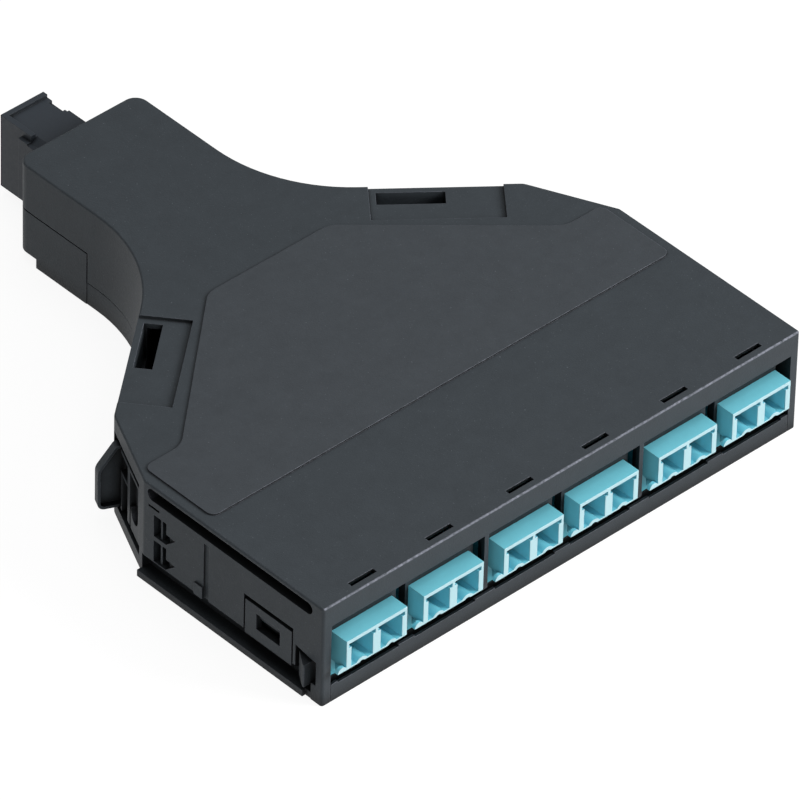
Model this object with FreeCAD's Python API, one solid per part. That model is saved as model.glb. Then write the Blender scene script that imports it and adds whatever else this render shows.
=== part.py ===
"""Fibre cassette: six duplex LC adapters in front, one MPO adapter behind, in a two-part housing.

Frame: X to the right along the front, +Y to the rear, +Z up. The origin is the middle of the front
face's lower edge. Millimetres.
"""

import FreeCAD
import Part
import math
import os

Vec = FreeCAD.Vector

# Housing outline, seen from above.
HALF_WIDTH = 52.0
SIDE_LENGTH = 42.0
CHAMFER_WIDTH = 7.2
CHAMFER_LENGTH = 15.2
SHOULDER_SLOPE = 0.82
NECK_HALF_WIDTH = 13.2
NECK_LENGTH = 33.4
NECK_ARC_RADIUS = 29.0
REAR_CORNER_RADIUS = 2.5
SHOULDER_CORNER_RADIUS = 2.2
SIDE_CORNER_RADIUS = 1.2
FRONT_CORNER_RADIUS = 0.5

# Housing heights and walls.
HEIGHT = 20.0
WALL = 1.6
TOP_THICKNESS = 1.6
FLOOR_THICKNESS = 1.5
SEAM_HEIGHT = 4.4
SEAM_GAP = 0.25
NECK_SEAM_HEIGHT = 10.5
NECK_SEAM_LENGTH = 17.3
NECK_STEP_LENGTH = 4.9
NECK_STEP_HEIGHT = 1.85
NECK_FLOOR_THICKNESS = 1.1
BASE_INSET = 0.1
TOP_EDGE_RADIUS = 0.35
FIT_GAP = 0.1

# Raised panel and shoulder recesses on top.
PANEL_RISE = 0.3
PANEL_FRONT_Y = 28.0
PANEL_SIDE_MARGIN = 2.0
PANEL_CORNER_INSET = 2.8
PANEL_CORNER_SETBACK = 2.3
PANEL_SLOPE = 0.889
PANEL_CORNER_RADIUS = 5.0
PANEL_APEX_RADIUS = 4.0
PANEL_SIDE_RADIUS = 1.5
RECESS_DEPTH = 0.6
RECESS_START = 3.3
RECESS_LENGTH = 22.2
RECESS_WIDTH = 8.9
SHOULDER_SLOT_LENGTH = 11.4
SHOULDER_SLOT_WIDTH = 3.1
SHOULDER_SLOT_INSET = 1.1
SHOULDER_SLOT_MARGIN = 1.2
SHOULDER_SLOT_DEPTH = 8.0

# LC adapters.
PORT_PITCH = 6.25
ADAPTER_WIDTH = 12.9
ADAPTER_HEIGHT = 9.35
ADAPTER_LENGTH = 26.0
ADAPTER_FRONT = -1.8
ADAPTER_TOP = 12.63
ADAPTER_STEP_HEIGHT = 3.55
ADAPTER_STEP_Y = 1.9
ADAPTER_TOP_WALL = 0.67
PAIR_GAP_SHARE = 0.155
BAY_GAP_SHARE = 0.195
PORT_WIDTH = 4.65
PORT_BOTTOM_WALL = 0.65
LATCH_SLOT_WIDTH = 5.7
LATCH_SLOT_HEIGHT = 0.8
PORT_DEPTH = 11.8
BARREL_RADIUS = 1.45
BARREL_SETBACK = 4.0
SLEEVE_RADIUS = 0.8
SLEEVE_LENGTH = 11.4
FERRULE_RADIUS = 0.625
RUNNING_GAP = 0.02
MOUTH_STRIP_HEIGHT = 0.25
SIDE_KEY_RADIUS = 0.95
SIDE_KEY_DEPTH = 0.7

# Front frame.
BAND_DROP = 3.07
BAND_THICKNESS = 0.9
POST_WIDTH = 1.8
POST_DEPTH = 2.6
SILL_HEIGHT = 3.5
SILL_THICKNESS = 0.5
BACK_WALL_Y = 1.75
BACK_WALL_THICKNESS = 1.5
DIVIDER_THICKNESS = 0.85
RECESS_TOP_THICKNESS = 1.6
TOP_SLOT_LENGTH = 5.4
TOP_SLOT_WIDTH = 0.95
TOP_SLOT_Y = 1.4
TOP_SLOT_LIP = 0.6
TOP_SLOT_ROOM = 0.8
TOP_SLOT_ROOM_HEIGHT = 2.9
GAP_SLOT_RISE = 1.4
GAP_SLOT_SHARE = 0.58

# Inner LC plugs and fibres.
PLUG_SIZE = 4.5
PLUG_LENGTH = 13.0
PLUG_CAVITY_RADIUS = 1.75
PLUG_CAVITY_DEPTH = 8.0
PLUG_GAP = 0.3
BOOT_LENGTH = 8.5
BOOT_RADIUS = 1.7
BOOT_TIP_RADIUS = 0.95
FIBRE_RADIUS = 0.45
FIBRE_STUB = 1.0

# Fan-out block and ribbon.
FANOUT_SETBACK = 32.3
FANOUT_LENGTH = 8.0
FANOUT_PITCH = 1.05
FANOUT_MARGIN = 0.8
FANOUT_HEIGHT = 3.6
SADDLE_WALL = 1.4
RIBBON_WIDTH = 3.1
RIBBON_THICKNESS = 0.34

# MPO adapter and inner plug. Lengths run from the housing's rear wall.
MPO_AXIS_DROP = 0.75
MPO_WIDTH = 9.4
MPO_WALL = 0.9
MPO_HOOD_RISE = 1.2
MPO_INNER_LENGTH = 9.5
MPO_OUTER_LENGTH = 13.6
MPO_WEB_START = 0.5
MPO_WEB = 1.6
MPO_COLLAR = 0.9
MPO_COLLAR_LENGTH = 8.2
MPO_RIM = 1.0
MPO_TOP_INSET = 0.6
MPO_SIDE_NOTCH = 0.8
MPO_NOTCH_START = 2.2
MPO_NOTCH_LENGTH = 3.2
MPO_CHAMFER_WIDTH = 2.2
MPO_CHAMFER_DEPTH = 1.5
MPO_CHAMFER_LENGTH = 6.0
MPO_ARM_LENGTH = 7.0
MPO_ARM_THICKNESS = 0.8
MPO_ARM_WIDTH = 2.6
MPO_ARM_GAP = 0.4
MPO_ARM_HOOK = 0.5
MPO_PLUG_WIDTH = 6.4
MPO_PLUG_ROOM = 0.2
MPO_PLUG_LENGTH = 17.0
MPO_FERRULE_WIDTH = 2.5
MPO_FERRULE_HEIGHT = 6.4
MPO_FERRULE_LENGTH = 8.0
GUIDE_PIN_RADIUS = 0.35
GUIDE_PIN_SPACING = 4.6
GUIDE_PIN_REACH = 2.0
GUIDE_PIN_LENGTH = 7.0

# Side wall details, measured from the front face and the base.
RAIL_HEIGHT = 1.3
RAIL_OVERRUN = 0.8
RAIL_RISE = 0.6
RAIL_START = 3.9
CHANNEL_DEPTH = 2.0
CHANNEL_WALL = 1.6
GROOVE_RADIUS = 1.15
GROOVE_DROP = 1.8
GROOVE_DEPTH = 1.9
GROOVE_BACKING = 1.2
GROOVE_START = 3.7
GROOVE_MARGIN = 2.0
GROOVE_BEAD_RADIUS = 0.45
GROOVE_BEAD_DEPTH = 0.9
TONGUE_START = 7.2
TONGUE_END = 18.0
TONGUE_TOP = 10.9
TONGUE_THICKNESS = 1.2
TONGUE_SIDE_GAP = 0.35
TONGUE_TOP_GAP = 0.9
TONGUE_WINDOW_START = 9.9
TONGUE_WINDOW_END = 15.4
TONGUE_WINDOW_LOW = 6.2
TONGUE_WINDOW_HIGH = 9.4
CATCH_THICKNESS = 1.0
CATCH_LIP = 0.6
HOOK_START = 2.9
HOOK_END = 5.8
HOOK_LOW = 2.9
HOOK_HIGH = 8.0
HOOK_SHOULDER = 7.2
HOOK_RISE = 1.2
HOOK_POCKET_START = 1.5
HOOK_POCKET_MARGIN = 0.5
SIDE_LINE_START = 26.6
SIDE_LINE_WIDTH = 1.2
SIDE_LINE_DROP = 4.0
SIDE_LINE_DEPTH = 0.3
SIDE_FOOT_WIDTH = 1.9
SIDE_FOOT_TOP = 7.0
SIDE_FOOT_RISE = 0.35
LOUVRE_MARGIN = 2.4
LOUVRE_WIDTH = 3.0
LOUVRE_HEIGHT = 4.4
LOUVRE_PITCH = 5.2
LOUVRE_DROP = 5.6
LOUVRE_DEPTH = 2.5
LOUVRE_TAIL = 2.1
LOUVRE_TAIL_DEPTH = 0.8
LOUVRE_RIB = 0.4
SLIT_LENGTH = 2.6
SLIT_HEIGHT = 0.45
SLIT_DROP = 4.5

# Side latches in the rear chamfers, measured along the chamfer from its rear corner.
LATCH_WINDOW_START = -0.2
LATCH_WINDOW_END = 14.2
LATCH_WINDOW_DROP = 3.0
LATCH_START = 0.7
LATCH_END = 13.6
LATCH_LOW = 2.7
LATCH_DROP = 5.0
LATCH_GAP = 0.4
LATCH_SETBACK = 2.3
LATCH_SKIN = 0.8
LATCH_FACE = 0.4
LATCH_RIB = 0.6
LATCH_LOW_RIB = 2.8
LATCH_LOW_RIB_TOP = 10.8
LATCH_HIGH_RIB = 6.6
LATCH_HIGH_RIB_WIDTH = 1.2
POCKET_START = 8.4
POCKET_END = 12.4
POCKET_LOW = 5.7
TAB_WIDTH = 1.6
TAB_REACH = 3.3
TAB_WALL = 0.5
TAB_SLOPE_START = 0.2
TAB_SLOPE_DROP = 4.6
TAB_RISE = 0.3
TAB_RADIUS = 2.4
PIVOT_SETBACK = 2.4
PIVOT_ALONG = 12.6
PIVOT_BARREL_RADIUS = 0.95
PIVOT_PIN_RADIUS = 0.6
PIVOT_PIN_LENGTH = 1.1
PIVOT_RUNNING_GAP = 0.06
PIVOT_BOSS_RADIUS = 1.5
PIVOT_END_GAP = 0.3

# Values worked out from those above.
CORNER_X = HALF_WIDTH - CHAMFER_WIDTH
CORNER_Y = SIDE_LENGTH + CHAMFER_LENGTH
SHOULDER_APEX_Y = CORNER_Y + (CORNER_X - NECK_HALF_WIDTH) * SHOULDER_SLOPE
HOUSING_LENGTH = SHOULDER_APEX_Y + NECK_LENGTH
NECK_SEAM_Y = HOUSING_LENGTH - NECK_SEAM_LENGTH
NECK_STEP_Y = HOUSING_LENGTH - NECK_STEP_LENGTH
CEILING = HEIGHT - TOP_THICKNESS
PORT_OFFSETS = (-PORT_PITCH / 2, PORT_PITCH / 2)
ADAPTER_BOTTOM = ADAPTER_TOP - ADAPTER_HEIGHT
ADAPTER_REAR = ADAPTER_FRONT + ADAPTER_LENGTH
PORT_FLOOR = ADAPTER_BOTTOM + PORT_BOTTOM_WALL
FERRULE_AXIS = PORT_FLOOR + PORT_WIDTH / 2
STEP_LEVEL = ADAPTER_BOTTOM + ADAPTER_STEP_HEIGHT
BAND_BOTTOM = ADAPTER_TOP + BAND_DROP
BACK_WALL_END = BACK_WALL_Y + BACK_WALL_THICKNESS
WINDOW_HALF = HALF_WIDTH - POST_WIDTH
SPARE_WIDTH = 2 * WINDOW_HALF - 6 * ADAPTER_WIDTH
PAIR_PITCH = ADAPTER_WIDTH + PAIR_GAP_SHARE * SPARE_WIDTH
BAY_PITCH = PAIR_PITCH + ADAPTER_WIDTH + BAY_GAP_SHARE * SPARE_WIDTH
BARREL_END = ADAPTER_REAR - BARREL_SETBACK
ADAPTER_MIDDLE = (ADAPTER_FRONT + ADAPTER_REAR) / 2
PLUG_FRONT = ADAPTER_FRONT + ADAPTER_LENGTH - PORT_DEPTH + PLUG_GAP
PLUG_REAR = PLUG_FRONT + PLUG_LENGTH
BOOT_END = PLUG_REAR + BOOT_LENGTH
FANOUT_FRONT = HOUSING_LENGTH - FANOUT_SETBACK
MPO_AXIS_HEIGHT = HEIGHT / 2 - MPO_AXIS_DROP
MPO_HEIGHT = 2 * (MPO_AXIS_HEIGHT - NECK_STEP_HEIGHT - NECK_FLOOR_THICKNESS - FIT_GAP)
MPO_HOOD_HEIGHT = MPO_HEIGHT + 2 * MPO_HOOD_RISE
MPO_FRONT = HOUSING_LENGTH - MPO_INNER_LENGTH
MPO_REAR = HOUSING_LENGTH + MPO_OUTER_LENGTH
MPO_WEB_Y = HOUSING_LENGTH + MPO_WEB_START
MPO_PLUG_HEIGHT = MPO_HEIGHT - 2 * MPO_WALL - 2 * MPO_PLUG_ROOM
LATCH_TOP = HEIGHT - LATCH_DROP
ADAPTER_CENTRES = [
    bay * BAY_PITCH + side * PAIR_PITCH / 2
    for bay in (-1, 0, 1)
    for side in (-1, 1)
]
PORT_CENTRES = [centre + offset for centre in ADAPTER_CENTRES for offset in PORT_OFFSETS]


def box(x0, x1, y0, y1, z0, z1):
    """Box between two corners."""
    return Part.makeBox(x1 - x0, y1 - y0, z1 - z0, Vec(x0, y0, z0))


def rod(radius, start, end):
    """Cylinder between two points."""
    along = end - start
    return Part.makeCylinder(radius, along.Length, start, along)


def mirrored(shape):
    """Mirror image across the middle plane."""
    return shape.mirror(Vec(0, 0, 0), Vec(1, 0, 0))


def both_sides(shape):
    """A shape and its mirror image."""
    return [shape, mirrored(shape)]


def joined(shapes):
    """One shape of overlapping solids."""
    first = shapes[0]
    return first.fuse(shapes[1:]).removeSplitter()


def outline_vertices():
    """Corners of the housing's outline with their radii, anticlockwise from the front right."""
    right = [
        (HALF_WIDTH, 0.0, FRONT_CORNER_RADIUS),
        (HALF_WIDTH, SIDE_LENGTH, SIDE_CORNER_RADIUS),
        (CORNER_X, CORNER_Y, SHOULDER_CORNER_RADIUS),
        (NECK_HALF_WIDTH, SHOULDER_APEX_Y, NECK_ARC_RADIUS),
        (NECK_HALF_WIDTH, HOUSING_LENGTH, REAR_CORNER_RADIUS),
    ]
    return right + [(-x, y, radius) for x, y, radius in reversed(right)]


def inset_vertices(vertices, distance):
    """Corners moved inward by a distance, with the radii that parallel corners have."""
    count = len(vertices)
    result = []
    for index in range(count):
        before = Vec(*vertices[index - 1][:2], 0)
        here = Vec(*vertices[index][:2], 0)
        after = Vec(*vertices[(index + 1) % count][:2], 0)
        first = (here - before).normalize()
        second = (after - here).normalize()
        turn = first.cross(second).z
        normal = Vec(-first.y, first.x, 0) + Vec(-second.y, second.x, 0)
        half = normal.Length / 2
        moved = here + normal.normalize() * (distance / half)
        radius = vertices[index][2]
        radius = max(radius - distance, 0.0) if turn > 0 else radius + distance
        result.append((moved.x, moved.y, radius))
    return result


def rounded_face(vertices):
    """Flat face whose corners are arcs of the given radii."""
    count = len(vertices)
    ends = []
    for index in range(count):
        here = Vec(vertices[index][0], vertices[index][1], 0)
        radius = vertices[index][2]
        to_before = (Vec(*vertices[index - 1][:2], 0) - here).normalize()
        to_after = (Vec(*vertices[(index + 1) % count][:2], 0) - here).normalize()
        angle = to_before.getAngle(to_after)
        if radius <= 0:
            ends.append((here, here, here))
            continue
        reach = radius / math.tan(angle / 2)
        bisector = (to_before + to_after).normalize()
        centre = here + bisector * (radius / math.sin(angle / 2))
        ends.append((here + to_before * reach, centre - bisector * radius, here + to_after * reach))
    edges = []
    for index in range(count):
        start, middle, end = ends[index]
        if (end - start).Length > 0:
            edges.append(Part.Arc(start, middle, end).toShape())
        following = ends[(index + 1) % count][0]
        if (following - end).Length > 1e-6:
            edges.append(Part.LineSegment(end, following).toShape())
    return Part.Face(Part.Wire(edges))


def plan_prism(vertices, low, high):
    """Upright prism on a rounded outline."""
    face = rounded_face(vertices)
    face.translate(Vec(0, 0, low))
    return face.extrude(Vec(0, 0, high - low))


def side_prism(points, x0, x1):
    """Prism along X on a closed outline of (y, z) points."""
    corners = [Vec(x0, y, z) for y, z in points]
    wire = Part.makePolygon(corners + corners[:1])
    return Part.Face(wire).extrude(Vec(x1 - x0, 0, 0))


def housing(low, high, inset=0.0):
    """Prism of the housing's outline."""
    return plan_prism(inset_vertices(outline_vertices(), inset), low, high)


def shoulder_frame():
    """Corner, direction along the shoulder and outward normal, on the right side."""
    corner = Vec(CORNER_X, CORNER_Y, 0)
    along = (Vec(NECK_HALF_WIDTH, SHOULDER_APEX_Y, 0) - corner).normalize()
    return corner, along, Vec(along.y, -along.x, 0)


def chamfer_frame():
    """Rear corner, direction towards the side and outward normal of the right chamfer."""
    corner = Vec(CORNER_X, CORNER_Y, 0)
    along = (Vec(HALF_WIDTH, SIDE_LENGTH, 0) - corner).normalize()
    return corner, along, Vec(-along.y, along.x, 0)


def framed_box(frame, s0, s1, n0, n1, z0, z1):
    """Box laid out along a slanted edge: s along it, n outward from it."""
    corner, along, outward = frame
    points = [
        corner + along * s0 + outward * n0,
        corner + along * s1 + outward * n0,
        corner + along * s1 + outward * n1,
        corner + along * s0 + outward * n1,
    ]
    points = [point + Vec(0, 0, z0) for point in points]
    wire = Part.makePolygon(points + points[:1])
    return Part.Face(wire).extrude(Vec(0, 0, z1 - z0))


def adapter_envelopes():
    """Room for each adapter in the recessed wall."""
    half = ADAPTER_WIDTH / 2 + FIT_GAP
    low = ADAPTER_BOTTOM - FIT_GAP
    high = ADAPTER_TOP + FIT_GAP
    return [
        box(centre - half, centre + half, 0.0, ADAPTER_REAR, low, high)
        for centre in ADAPTER_CENTRES
    ]


def gap_slots():
    """Slots in the recessed wall between and beside the adapters."""
    half_adapter = ADAPTER_WIDTH / 2
    edges = [-WINDOW_HALF]
    for centre in ADAPTER_CENTRES:
        edges += [centre - half_adapter, centre + half_adapter]
    edges.append(WINDOW_HALF)
    top = ADAPTER_TOP + GAP_SLOT_RISE
    slots = []
    for left, right in zip(edges[::2], edges[1::2]):
        at_post = left == -WINDOW_HALF or right == WINDOW_HALF
        rib = 0 if at_post else (1 - GAP_SLOT_SHARE) / 2 * (right - left)
        slots.append(box(left + rib, right - rib, BACK_WALL_Y - 1, BACK_WALL_END + 1, SILL_HEIGHT, top))
    return slots


def dividers():
    """Full-height dividers between the three bays."""
    half = DIVIDER_THICKNESS / 2
    top = BAND_BOTTOM + FIT_GAP
    return [
        box(side * BAY_PITCH / 2 - half, side * BAY_PITCH / 2 + half,
            0.0, BACK_WALL_Y + FIT_GAP, SEAM_HEIGHT + SEAM_GAP, top)
        for side in (-1, 1)
    ]


def top_slots():
    """Small slots through the top, one over each adapter, with thin lips over wider rooms."""
    half = TOP_SLOT_LENGTH / 2
    wide = half + TOP_SLOT_ROOM
    room_top = HEIGHT - TOP_SLOT_LIP
    slots = []
    for centre in ADAPTER_CENTRES:
        slots.append(box(centre - half, centre + half, TOP_SLOT_Y, TOP_SLOT_Y + TOP_SLOT_WIDTH,
                         BAND_BOTTOM, HEIGHT + 1))
        slots.append(box(centre - wide, centre + wide, BAND_THICKNESS, BACK_WALL_END + FIT_GAP,
                         room_top - TOP_SLOT_ROOM_HEIGHT, room_top))
    return slots


def panel():
    """Raised panel on top."""
    side_x = HALF_WIDTH - PANEL_SIDE_MARGIN
    corner_x = CORNER_X - PANEL_CORNER_INSET
    corner_y = SIDE_LENGTH + PANEL_CORNER_SETBACK
    rear_y = corner_y + (corner_x - NECK_HALF_WIDTH) * PANEL_SLOPE
    right = [
        (side_x, PANEL_FRONT_Y, PANEL_SIDE_RADIUS),
        (side_x, corner_y, PANEL_SIDE_RADIUS),
        (corner_x, corner_y, PANEL_CORNER_RADIUS),
        (NECK_HALF_WIDTH, rear_y, PANEL_APEX_RADIUS),
    ]
    vertices = right + [(-x, y, radius) for x, y, radius in reversed(right)]
    return plan_prism(vertices, HEIGHT - RECESS_DEPTH, HEIGHT + PANEL_RISE)


def shoulder_recess():
    """Shallow recess along the right shoulder."""
    frame = shoulder_frame()
    end = RECESS_START + RECESS_LENGTH
    return framed_box(frame, RECESS_START, end, -RECESS_WIDTH, 4.0, HEIGHT - RECESS_DEPTH, HEIGHT + 1)


def shoulder_slot():
    """Slot through the top inside the right shoulder recess."""
    frame = shoulder_frame()
    end = RECESS_START + RECESS_LENGTH - SHOULDER_SLOT_MARGIN
    outer = -SHOULDER_SLOT_INSET
    return framed_box(frame, end - SHOULDER_SLOT_LENGTH, end, outer - SHOULDER_SLOT_WIDTH, outer,
                      HEIGHT - SHOULDER_SLOT_DEPTH, HEIGHT + 1)


def pivot_point(height):
    """A point on the right latch's pivot axis."""
    corner, along, outward = chamfer_frame()
    return corner + along * PIVOT_ALONG - outward * PIVOT_SETBACK + Vec(0, 0, height)


def latch_window():
    """Window in the right chamfer for the latch."""
    return framed_box(chamfer_frame(), LATCH_WINDOW_START, LATCH_WINDOW_END, -WALL - BASE_INSET - FIT_GAP, 1.0,
                      LATCH_LOW - LATCH_GAP, HEIGHT - LATCH_WINDOW_DROP)


def upper_pivot_boss():
    """Socket under the cover for the right latch's upper pin."""
    low = LATCH_TOP + PIVOT_END_GAP
    boss = rod(PIVOT_BOSS_RADIUS, pivot_point(low), pivot_point(CEILING + 0.5))
    hole = rod(PIVOT_PIN_RADIUS + PIVOT_RUNNING_GAP, pivot_point(low - 1),
               pivot_point(low + PIVOT_PIN_LENGTH + PIVOT_END_GAP))
    return boss, hole


def lower_pivot_boss():
    """Socket on the base for the right latch's lower pin."""
    high = LATCH_LOW - PIVOT_END_GAP
    boss = rod(PIVOT_BOSS_RADIUS, pivot_point(FLOOR_THICKNESS - 0.5), pivot_point(high))
    hole = rod(PIVOT_PIN_RADIUS + PIVOT_RUNNING_GAP, pivot_point(high - PIVOT_PIN_LENGTH - PIVOT_END_GAP),
               pivot_point(high + 1))
    return boss, hole


def side_groove():
    """Deep groove with round ends under the right top edge."""
    inner = HALF_WIDTH - GROOVE_DEPTH
    outer = HALF_WIDTH + 1
    height = HEIGHT - GROOVE_DROP
    ends = (GROOVE_START, SIDE_LENGTH - GROOVE_MARGIN)
    slot = box(inner, outer, ends[0], ends[1], height - GROOVE_RADIUS, height + GROOVE_RADIUS)
    return joined([slot] + [rod(GROOVE_RADIUS, Vec(inner, y, height), Vec(outer, y, height)) for y in ends])


def groove_bead():
    """Round bead along the bottom of the right groove."""
    axis_x = HALF_WIDTH - GROOVE_DEPTH + GROOVE_BEAD_DEPTH - GROOVE_BEAD_RADIUS
    height = HEIGHT - GROOVE_DROP
    start = GROOVE_START + GROOVE_RADIUS / 2
    end = SIDE_LENGTH - GROOVE_MARGIN + GROOVE_RADIUS / 2
    web = box(HALF_WIDTH - GROOVE_DEPTH - GROOVE_BACKING / 2, axis_x, start, end,
              height - GROOVE_BEAD_RADIUS, height + GROOVE_BEAD_RADIUS)
    return web.fuse(rod(GROOVE_BEAD_RADIUS, Vec(axis_x, start, height), Vec(axis_x, end, height)))


def groove_backing():
    """Thicker wall behind the right groove."""
    inner = HALF_WIDTH - GROOVE_DEPTH - GROOVE_BACKING
    low = HEIGHT - GROOVE_DROP - GROOVE_RADIUS - GROOVE_BACKING
    return box(inner, HALF_WIDTH - WALL / 2, BACK_WALL_END - 1, SIDE_LENGTH - GROOVE_MARGIN / 2, low, CEILING + 0.5)


def louvres():
    """Two pockets near the rear of the right side, each with an upright rib and a slanted tail."""
    shapes = []
    rear = SIDE_LENGTH - LOUVRE_MARGIN
    front = rear - LOUVRE_WIDTH
    inner = HALF_WIDTH - LOUVRE_DEPTH
    for number in range(2):
        top = HEIGHT - LOUVRE_DROP - number * LOUVRE_PITCH
        low = top - LOUVRE_HEIGHT
        middle = low + LOUVRE_HEIGHT / 2
        pocket = box(inner, HALF_WIDTH + 1, front, rear, low, top)
        tail = [(front + 0.1, middle), (front - LOUVRE_TAIL, middle - 0.2), (front + 0.1, low)]
        tail_cut = side_prism(tail, HALF_WIDTH - LOUVRE_TAIL_DEPTH, HALF_WIDTH + 1)
        rib_y = rear - LOUVRE_WIDTH / 2
        rib = box(inner, HALF_WIDTH - LOUVRE_RIB, rib_y - LOUVRE_RIB / 2, rib_y + LOUVRE_RIB / 2,
                  low - 1, top + 1)
        shapes.append(pocket.fuse(tail_cut).cut(rib))
    return shapes


def side_line():
    """Shallow upright line on the right side."""
    return box(HALF_WIDTH - SIDE_LINE_DEPTH, HALF_WIDTH + 1, SIDE_LINE_START, SIDE_LINE_START + SIDE_LINE_WIDTH,
               0.0, HEIGHT - SIDE_LINE_DROP)


def side_slit():
    """Small slit above the slanted pockets."""
    middle = SIDE_LENGTH - LOUVRE_MARGIN
    low = HEIGHT - SLIT_DROP
    return box(HALF_WIDTH - LOUVRE_DEPTH, HALF_WIDTH + 1, middle - SLIT_LENGTH / 2, middle + SLIT_LENGTH / 2,
               low, low + SLIT_HEIGHT)


def side_foot():
    """Small raised pad at the lower edge of the right side."""
    start = SIDE_LINE_START + SIDE_LINE_WIDTH
    return box(HALF_WIDTH - 1.0, HALF_WIDTH + SIDE_FOOT_RISE, start, start + SIDE_FOOT_WIDTH,
               SEAM_HEIGHT + SEAM_GAP, SIDE_FOOT_TOP)


def tongue_notch():
    """Notch in the right cover wall round the base's snap tongue."""
    return box(HALF_WIDTH - WALL - 1, HALF_WIDTH + 1, TONGUE_START - TONGUE_SIDE_GAP,
               TONGUE_END + TONGUE_SIDE_GAP, SEAM_HEIGHT - 1, TONGUE_TOP + TONGUE_TOP_GAP)


def catch():
    """Inner tab of the cover with the lip that the tongue's window holds, on the right."""
    outer = HALF_WIDTH - WALL - FIT_GAP
    inner = outer - CATCH_THICKNESS
    lip_low = TONGUE_WINDOW_HIGH - 2 * CATCH_LIP
    start = TONGUE_WINDOW_START + FIT_GAP
    end = TONGUE_WINDOW_END - FIT_GAP
    tab = box(inner, outer, start, end, TONGUE_WINDOW_LOW + FIT_GAP, CEILING + 0.5)
    root = box(inner, HALF_WIDTH - 0.5, start, end, TONGUE_TOP + TONGUE_TOP_GAP, HEIGHT - GROOVE_DROP - GROOVE_RADIUS)
    lip = box(outer - 0.2, HALF_WIDTH - 0.6, start, end, lip_low, TONGUE_WINDOW_HIGH - FIT_GAP)
    return [tab, root, lip]


def hook_pocket():
    """Pocket round the wedge hook in the right cover wall."""
    rear = HOOK_END + HOOK_POCKET_MARGIN
    points = [
        (HOOK_POCKET_START, SEAM_HEIGHT - 1),
        (HOOK_POCKET_START, HOOK_HIGH + 0.2),
        (HOOK_START, HOOK_HIGH + 0.3),
        (rear, HOOK_HIGH + 1.0),
        (rear, SEAM_HEIGHT - 1),
    ]
    return side_prism(points, HALF_WIDTH - WALL - 1, HALF_WIDTH + 1)


def hook():
    """Wedge hook on the right of the base: a ramp that widens and rises towards a steep front face."""
    foot = HALF_WIDTH - WALL
    tip = HALF_WIDTH + HOOK_RISE
    plan = [
        Vec(foot - 0.2, HOOK_END, HOOK_LOW),
        Vec(foot - 0.2, HOOK_START, HOOK_LOW),
        Vec(tip, HOOK_START, HOOK_LOW),
        Vec(tip, HOOK_START + 0.4, HOOK_LOW),
        Vec(HALF_WIDTH - 0.4, HOOK_END, HOOK_LOW),
    ]
    wedge = Part.Face(Part.makePolygon(plan + plan[:1])).extrude(Vec(0, 0, HOOK_HIGH - HOOK_LOW))
    above = side_prism([(HOOK_START - 1, HOOK_SHOULDER), (HOOK_END + 1, HOOK_HIGH), (HOOK_END + 1, HOOK_HIGH + 1),
                        (HOOK_START - 1, HOOK_HIGH + 1)], foot - 1, tip + 1)
    return wedge.cut(above)


def tongue():
    """Snap tongue on the right of the base, with its window and sloping root."""
    outer = HALF_WIDTH
    inner = outer - TONGUE_THICKNESS
    plate = box(inner, outer, TONGUE_START, TONGUE_END, SEAM_HEIGHT - 0.4, TONGUE_TOP)
    root_outer = HALF_WIDTH - CHANNEL_DEPTH - 0.2
    wire = Part.makePolygon([
        Vec(root_outer, TONGUE_START, RAIL_HEIGHT + 1.2),
        Vec(outer, TONGUE_START, SEAM_HEIGHT - 0.4),
        Vec(outer, TONGUE_START, SEAM_HEIGHT + 0.4),
        Vec(root_outer, TONGUE_START, SEAM_HEIGHT - 0.2),
        Vec(root_outer, TONGUE_START, RAIL_HEIGHT + 1.2),
    ])
    root = Part.Face(wire).extrude(Vec(0, TONGUE_END - TONGUE_START, 0))
    window = box(inner - 1, outer + 1, TONGUE_WINDOW_START, TONGUE_WINDOW_END, TONGUE_WINDOW_LOW, TONGUE_WINDOW_HIGH)
    return joined([plate, root]).cut(window)


def front_post(low, high, clearance=0.0):
    """Right end post of the front frame, with the outline's rounded corner."""
    room = box(WINDOW_HALF - clearance, HALF_WIDTH + 1, -1, POST_DEPTH + clearance, low, high)
    return housing(low, high).common(room)


def make_top_cover():
    """Upper housing."""
    low = SEAM_HEIGHT + SEAM_GAP
    shell = housing(low, HEIGHT)
    top_edges = [edge for edge in shell.Edges if edge.BoundBox.ZMin > HEIGHT - 1e-3]
    shell = shell.makeFillet(TOP_EDGE_RADIUS, top_edges)
    cavity = housing(low - 1, CEILING, WALL).cut(box(-HALF_WIDTH, HALF_WIDTH, -1, BACK_WALL_END, 0, HEIGHT))
    seam = box(-HALF_WIDTH, HALF_WIDTH, NECK_SEAM_Y - SEAM_GAP, HOUSING_LENGTH + 1, 0, NECK_SEAM_HEIGHT + SEAM_GAP)
    window = box(-WINDOW_HALF, WINDOW_HALF, -1, BACK_WALL_Y, 0, BAND_BOTTOM)
    pocket = box(-WINDOW_HALF, WINDOW_HALF, BAND_THICKNESS, BACK_WALL_Y, BAND_BOTTOM - 1,
                 HEIGHT - RECESS_TOP_THICKNESS)
    cover = shell.cut([cavity, seam, window, pocket])
    added = dividers() + [panel()]
    boss, hole = upper_pivot_boss()
    for piece in catch() + [front_post(0.0, SEAM_HEIGHT + 1), groove_backing(), boss]:
        added += both_sides(piece)
    cuts = adapter_envelopes() + gap_slots() + top_slots() + [mpo_passage()]
    for piece in [shoulder_slot(), latch_window(), hole, side_groove(), side_line(), side_slit(),
                  hook_pocket()] + louvres():
        cuts += both_sides(piece)
    cover = cover.cut(both_sides(tongue_notch()) + both_sides(shoulder_recess()))
    cover = cover.fuse(added).cut(cuts)
    return cover.fuse(both_sides(side_foot()) + both_sides(groove_bead())).removeSplitter()


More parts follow.
